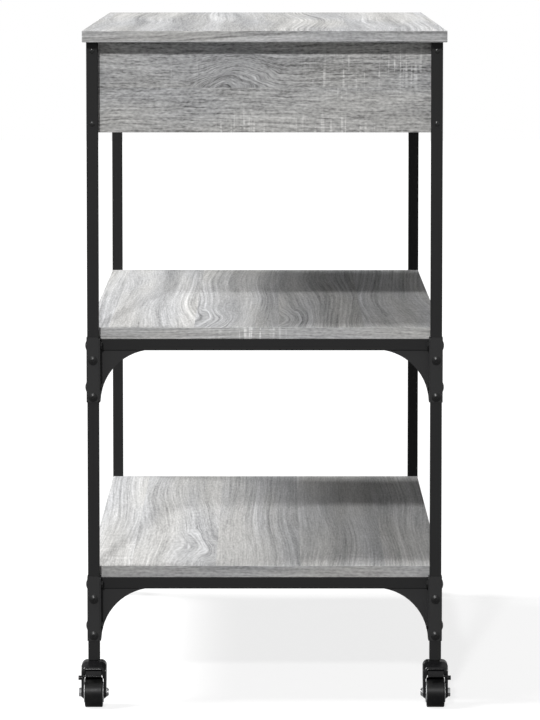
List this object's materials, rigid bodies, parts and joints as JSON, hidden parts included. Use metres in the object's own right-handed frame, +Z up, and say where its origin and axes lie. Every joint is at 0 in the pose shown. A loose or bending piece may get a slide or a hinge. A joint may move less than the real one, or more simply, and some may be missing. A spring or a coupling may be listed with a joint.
{
  "type": "kitchen island cart",
  "caption": "Long rolling kitchen island with a board worktop, two drawers in the box beneath it, two open shelves on a slim black tube frame with curved gusset brackets, and swivel casters.",
  "frame": {"origin": "on the floor, midway between the two long sides and between the two ends", "axes": "+Z up; +Y along the cart, away from its front end; +X across it, the way the drawers open"},
  "size_m": [0.5154, 1.0354, 0.938],
  "materials": {
    "oak_board": "matt grey-washed oak laminate",
    "drawer_board": "matt grey laminate on thin board",
    "black_steel": "satin powder coat",
    "gusset_steel": "satin powder coat on pressed sheet",
    "black_fasteners": "black oxide, semi-gloss",
    "runner_steel": "zinc-plated sheet",
    "caster_steel": "gloss black enamel",
    "chrome_axle": "bright plated",
    "black_plastic": "moulded, semi-gloss",
    "hub_plastic": "light grey moulded hub, semi-gloss",
    "tyre_rubber": "smooth dark rubber"
  },
  "bodies": {
    "frame": {"table_top": "oak_board", "front_end_panel": "oak_board", "rear_end_panel": "oak_board", "back_panel": "oak_board", "carcass_floor": "oak_board", "drawer_divider": "oak_board", "middle_shelf": "oak_board", "bottom_shelf": "oak_board", "front_left_leg": "black_steel", "front_right_leg": "black_steel", "rear_left_leg": "black_steel", "rear_right_leg": "black_steel", "middle_front_rail": "black_steel", "middle_rear_rail": "black_steel", "middle_left_rail": "black_steel", "middle_right_rail": "black_steel", "middle_end_gussets": "gusset_steel", "middle_side_gussets": "gusset_steel", "bottom_front_rail": "black_steel", "bottom_rear_rail": "black_steel", "bottom_left_rail": "black_steel", "bottom_right_rail": "black_steel", "bottom_end_gussets": "gusset_steel", "bottom_side_gussets": "gusset_steel", "gusset_bolts": "black_fasteners", "gusset_nuts": "black_fasteners", "panel_screws": "black_fasteners", "top_brackets": "runner_steel", "leg_inserts": "black_plastic", "caster_stems": "caster_steel", "front_cabinet_runners": "runner_steel", "rear_cabinet_runners": "runner_steel"},
    "front_drawer": {"front_drawer_front": "oak_board", "front_drawer_sides": "drawer_board", "front_drawer_back": "drawer_board", "front_drawer_bottom": "drawer_board", "front_drawer_runners": "runner_steel"},
    "rear_drawer": {"rear_drawer_front": "oak_board", "rear_drawer_sides": "drawer_board", "rear_drawer_back": "drawer_board", "rear_drawer_bottom": "drawer_board", "rear_drawer_runners": "runner_steel"},
    "front_left_caster": {"front_left_fork": "caster_steel", "front_left_axle": "chrome_axle"},
    "front_left_wheel": {"front_left_hub": "hub_plastic", "front_left_tyre": "tyre_rubber"},
    "front_left_pedal": {"front_left_brake_pedal": "caster_steel"},
    "front_right_caster": {"front_right_fork": "caster_steel", "front_right_axle": "chrome_axle"},
    "front_right_wheel": {"front_right_hub": "hub_plastic", "front_right_tyre": "tyre_rubber"},
    "front_right_pedal": {"front_right_brake_pedal": "caster_steel"},
    "rear_left_caster": {"rear_left_fork": "caster_steel", "rear_left_axle": "chrome_axle"},
    "rear_left_wheel": {"rear_left_hub": "hub_plastic", "rear_left_tyre": "tyre_rubber"},
    "rear_right_caster": {"rear_right_fork": "caster_steel", "rear_right_axle": "chrome_axle"},
    "rear_right_wheel": {"rear_right_hub": "hub_plastic", "rear_right_tyre": "tyre_rubber"}
  },
  "joints": [
    {"name": "front_drawer_slide", "type": "slide", "parent": "frame", "child": "front_drawer", "axis": [1, 0, 0], "range_m": [0, 0.3]},
    {"name": "rear_drawer_slide", "type": "slide", "parent": "frame", "child": "rear_drawer", "axis": [1, 0, 0], "range_m": [0, 0.3]},
    {"name": "front_left_swivel", "type": "hinge", "parent": "frame", "child": "front_left_caster", "pos_m": [-0.237, -0.482, 0.06], "axis": [0, 0, 1], "continuous": true},
    {"name": "front_left_roll", "type": "hinge", "parent": "front_left_caster", "child": "front_left_wheel", "pos_m": [-0.237, -0.497, 0.0207], "axis": [1, 0, 0], "continuous": true},
    {"name": "front_left_brake", "type": "hinge", "parent": "front_left_caster", "child": "front_left_pedal", "pos_m": [-0.237, -0.494, 0.056], "axis": [1, 0, 0], "range_deg": [0, 12]},
    {"name": "front_right_swivel", "type": "hinge", "parent": "frame", "child": "front_right_caster", "pos_m": [0.237, -0.482, 0.06], "axis": [0, 0, 1], "continuous": true},
    {"name": "front_right_roll", "type": "hinge", "parent": "front_right_caster", "child": "front_right_wheel", "pos_m": [0.237, -0.497, 0.0207], "axis": [1, 0, 0], "continuous": true},
    {"name": "front_right_brake", "type": "hinge", "parent": "front_right_caster", "child": "front_right_pedal", "pos_m": [0.237, -0.494, 0.056], "axis": [1, 0, 0], "range_deg": [0, 12]},
    {"name": "rear_left_swivel", "type": "hinge", "parent": "frame", "child": "rear_left_caster", "pos_m": [-0.237, 0.482, 0.06], "axis": [0, 0, 1], "continuous": true},
    {"name": "rear_left_roll", "type": "hinge", "parent": "rear_left_caster", "child": "rear_left_wheel", "pos_m": [-0.237, 0.497, 0.0207], "axis": [1, 0, 0], "continuous": true},
    {"name": "rear_right_swivel", "type": "hinge", "parent": "frame", "child": "rear_right_caster", "pos_m": [0.237, 0.482, 0.06], "axis": [0, 0, 1], "continuous": true},
    {"name": "rear_right_roll", "type": "hinge", "parent": "rear_right_caster", "child": "rear_right_wheel", "pos_m": [0.237, 0.497, 0.0207], "axis": [1, 0, 0], "continuous": true}
  ]
}
